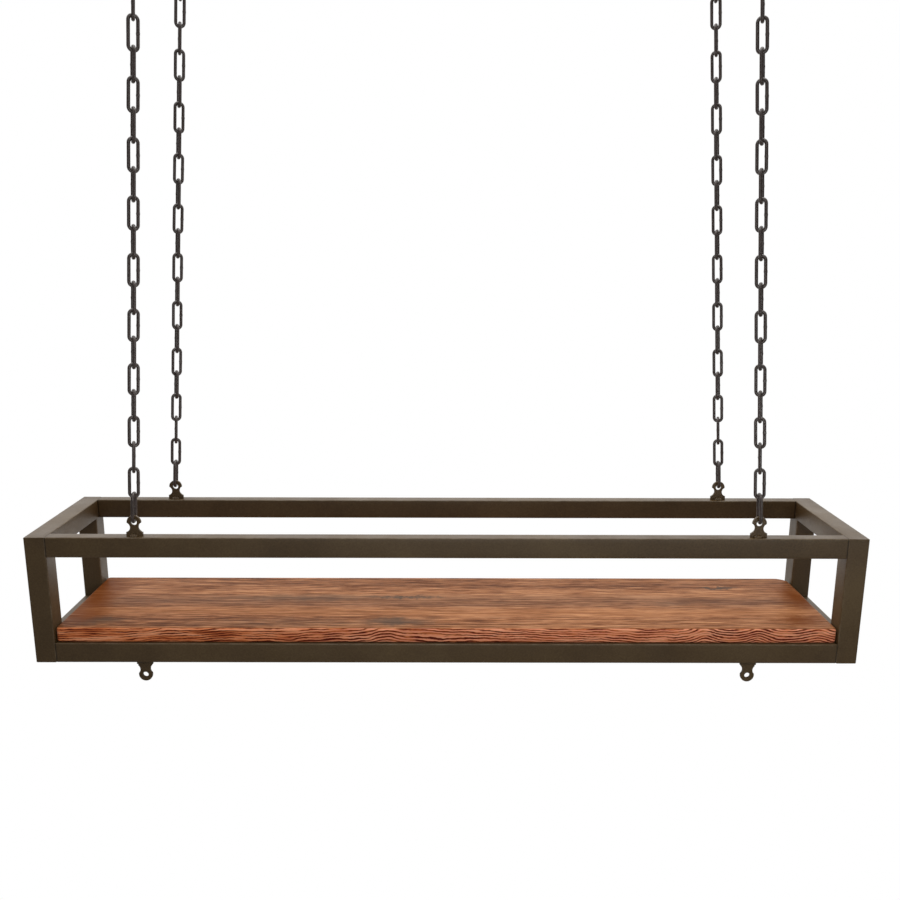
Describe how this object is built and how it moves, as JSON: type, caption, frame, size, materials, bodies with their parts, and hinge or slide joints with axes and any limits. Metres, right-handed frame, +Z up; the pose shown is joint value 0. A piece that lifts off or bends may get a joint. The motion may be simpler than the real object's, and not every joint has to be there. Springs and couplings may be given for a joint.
{
  "type": "hanging shelf",
  "caption": "Long open box frame of steel tube with a wooden board lying in it, hung by chains from eye tabs on its top rails to screw hooks in the ceiling.",
  "frame": {"origin": "on the ceiling plane, midway between the four hooks", "axes": "+X to the right along the shelf, +Y to the rear, +Z up"},
  "size_m": [1.016, 0.19, 0.95],
  "materials": {
    "frame_coat": "satin powder coat, dark bronze brown, finely textured",
    "stained_wood": "reddish brown stain with dark grain, low sheen",
    "chain_black": "black coat worn to grey-brown at the links' crowns",
    "hook_black": "satin black",
    "screw_zinc": "zinc plated"
  },
  "bodies": {
    "ceiling_hooks": {"front_left_hook": "hook_black", "front_right_hook": "hook_black", "rear_left_hook": "hook_black", "rear_right_hook": "hook_black"},
    "front_left_hanger": {"front_left_top_link": "chain_black"},
    "front_left_run": {"front_left_chain": "chain_black"},
    "front_left_shackle": {"front_left_end_link": "chain_black"},
    "front_right_hanger": {"front_right_top_link": "chain_black"},
    "front_right_run": {"front_right_chain": "chain_black"},
    "front_right_shackle": {"front_right_end_link": "chain_black"},
    "rear_left_hanger": {"rear_left_top_link": "chain_black"},
    "rear_left_run": {"rear_left_chain": "chain_black"},
    "rear_left_shackle": {"rear_left_end_link": "chain_black"},
    "rear_right_hanger": {"rear_right_top_link": "chain_black"},
    "rear_right_run": {"rear_right_chain": "chain_black"},
    "rear_right_shackle": {"rear_right_end_link": "chain_black"},
    "shelf": {"front_left_post": "frame_coat", "front_right_post": "frame_coat", "rear_left_post": "frame_coat", "rear_right_post": "frame_coat", "top_left_side_rail": "frame_coat", "top_right_side_rail": "frame_coat", "bottom_left_side_rail": "frame_coat", "bottom_right_side_rail": "frame_coat", "top_front_rail": "frame_coat", "top_rear_rail": "frame_coat", "bottom_front_rail": "frame_coat", "bottom_rear_rail": "frame_coat", "shelf_board": "stained_wood", "board_screws": "screw_zinc", "front_left_upper_tab": "frame_coat", "front_right_upper_tab": "frame_coat", "rear_left_upper_tab": "frame_coat", "rear_right_upper_tab": "frame_coat", "front_left_lower_tab": "frame_coat", "front_right_lower_tab": "frame_coat", "rear_left_lower_tab": "frame_coat", "rear_right_lower_tab": "frame_coat", "upper_tab_welds": "frame_coat", "lower_tab_welds": "frame_coat"}
  },
  "joints": [
    {"name": "front_back_swing", "type": "hinge", "parent": "ceiling_hooks", "child": "front_left_hanger", "pos_m": [-0.32454, -0.0825, -0.03003], "axis": [1, 0, 0], "range_deg": [-15, 15]},
    {"name": "side_swing", "type": "hinge", "parent": "front_left_hanger", "child": "front_left_run", "pos_m": [-0.32687, -0.0825, -0.06094], "axis": [0, 1, 0], "range_deg": [-4, 4]},
    {"name": "front_left_lower_pivot", "type": "hinge", "parent": "front_left_run", "child": "front_left_shackle", "pos_m": [-0.37335, -0.0825, -0.6792], "axis": [0, 1, 0], "range_deg": [-5, 5]},
    {"name": "front_right_hook_pivot", "type": "hinge", "parent": "ceiling_hooks", "child": "front_right_hanger", "pos_m": [0.32454, -0.0825, -0.03003], "axis": [1, 0, 0], "range_deg": [-16, 16]},
    {"name": "front_right_upper_pivot", "type": "hinge", "parent": "front_right_hanger", "child": "front_right_run", "pos_m": [0.32687, -0.0825, -0.06094], "axis": [0, 1, 0], "range_deg": [-5, 5]},
    {"name": "front_right_lower_pivot", "type": "hinge", "parent": "front_right_run", "child": "front_right_shackle", "pos_m": [0.37335, -0.0825, -0.6792], "axis": [0, 1, 0], "range_deg": [-5, 5]},
    {"name": "rear_left_hook_pivot", "type": "hinge", "parent": "ceiling_hooks", "child": "rear_left_hanger", "pos_m": [-0.32454, 0.0825, -0.03003], "axis": [1, 0, 0], "range_deg": [-16, 16]},
    {"name": "rear_left_upper_pivot", "type": "hinge", "parent": "rear_left_hanger", "child": "rear_left_run", "pos_m": [-0.32687, 0.0825, -0.06094], "axis": [0, 1, 0], "range_deg": [-5, 5]},
    {"name": "rear_left_lower_pivot", "type": "hinge", "parent": "rear_left_run", "child": "rear_left_shackle", "pos_m": [-0.37335, 0.0825, -0.6792], "axis": [0, 1, 0], "range_deg": [-5, 5]},
    {"name": "rear_right_hook_pivot", "type": "hinge", "parent": "ceiling_hooks", "child": "rear_right_hanger", "pos_m": [0.32454, 0.0825, -0.03003], "axis": [1, 0, 0], "range_deg": [-16, 16]},
    {"name": "rear_right_upper_pivot", "type": "hinge", "parent": "rear_right_hanger", "child": "rear_right_run", "pos_m": [0.32687, 0.0825, -0.06094], "axis": [0, 1, 0], "range_deg": [-5, 5]},
    {"name": "rear_right_lower_pivot", "type": "hinge", "parent": "rear_right_run", "child": "rear_right_shackle", "pos_m": [0.37335, 0.0825, -0.6792], "axis": [0, 1, 0], "range_deg": [-5, 5]},
    {"name": "shelf_level", "type": "hinge", "parent": "front_left_shackle", "child": "shelf", "pos_m": [-0.37555, -0.0825, -0.70842], "axis": [1, 0, 0], "range_deg": [-16, 16]}
  ],
  "couplings": [
    {"joint": "front_left_lower_pivot", "follows": "side_swing", "ratio": -0.8756},
    {"joint": "front_right_hook_pivot", "follows": "front_back_swing", "ratio": 1},
    {"joint": "front_right_upper_pivot", "follows": "side_swing", "ratio": 1},
    {"joint": "front_right_lower_pivot", "follows": "side_swing", "ratio": -0.8756},
    {"joint": "rear_left_hook_pivot", "follows": "front_back_swing", "ratio": 1},
    {"joint": "rear_left_upper_pivot", "follows": "side_swing", "ratio": 1},
    {"joint": "rear_left_lower_pivot", "follows": "side_swing", "ratio": -0.8756},
    {"joint": "rear_right_hook_pivot", "follows": "front_back_swing", "ratio": 1},
    {"joint": "rear_right_upper_pivot", "follows": "side_swing", "ratio": 1},
    {"joint": "rear_right_lower_pivot", "follows": "side_swing", "ratio": -0.8756},
    {"joint": "shelf_level", "follows": "front_back_swing", "ratio": -1}
  ]
}
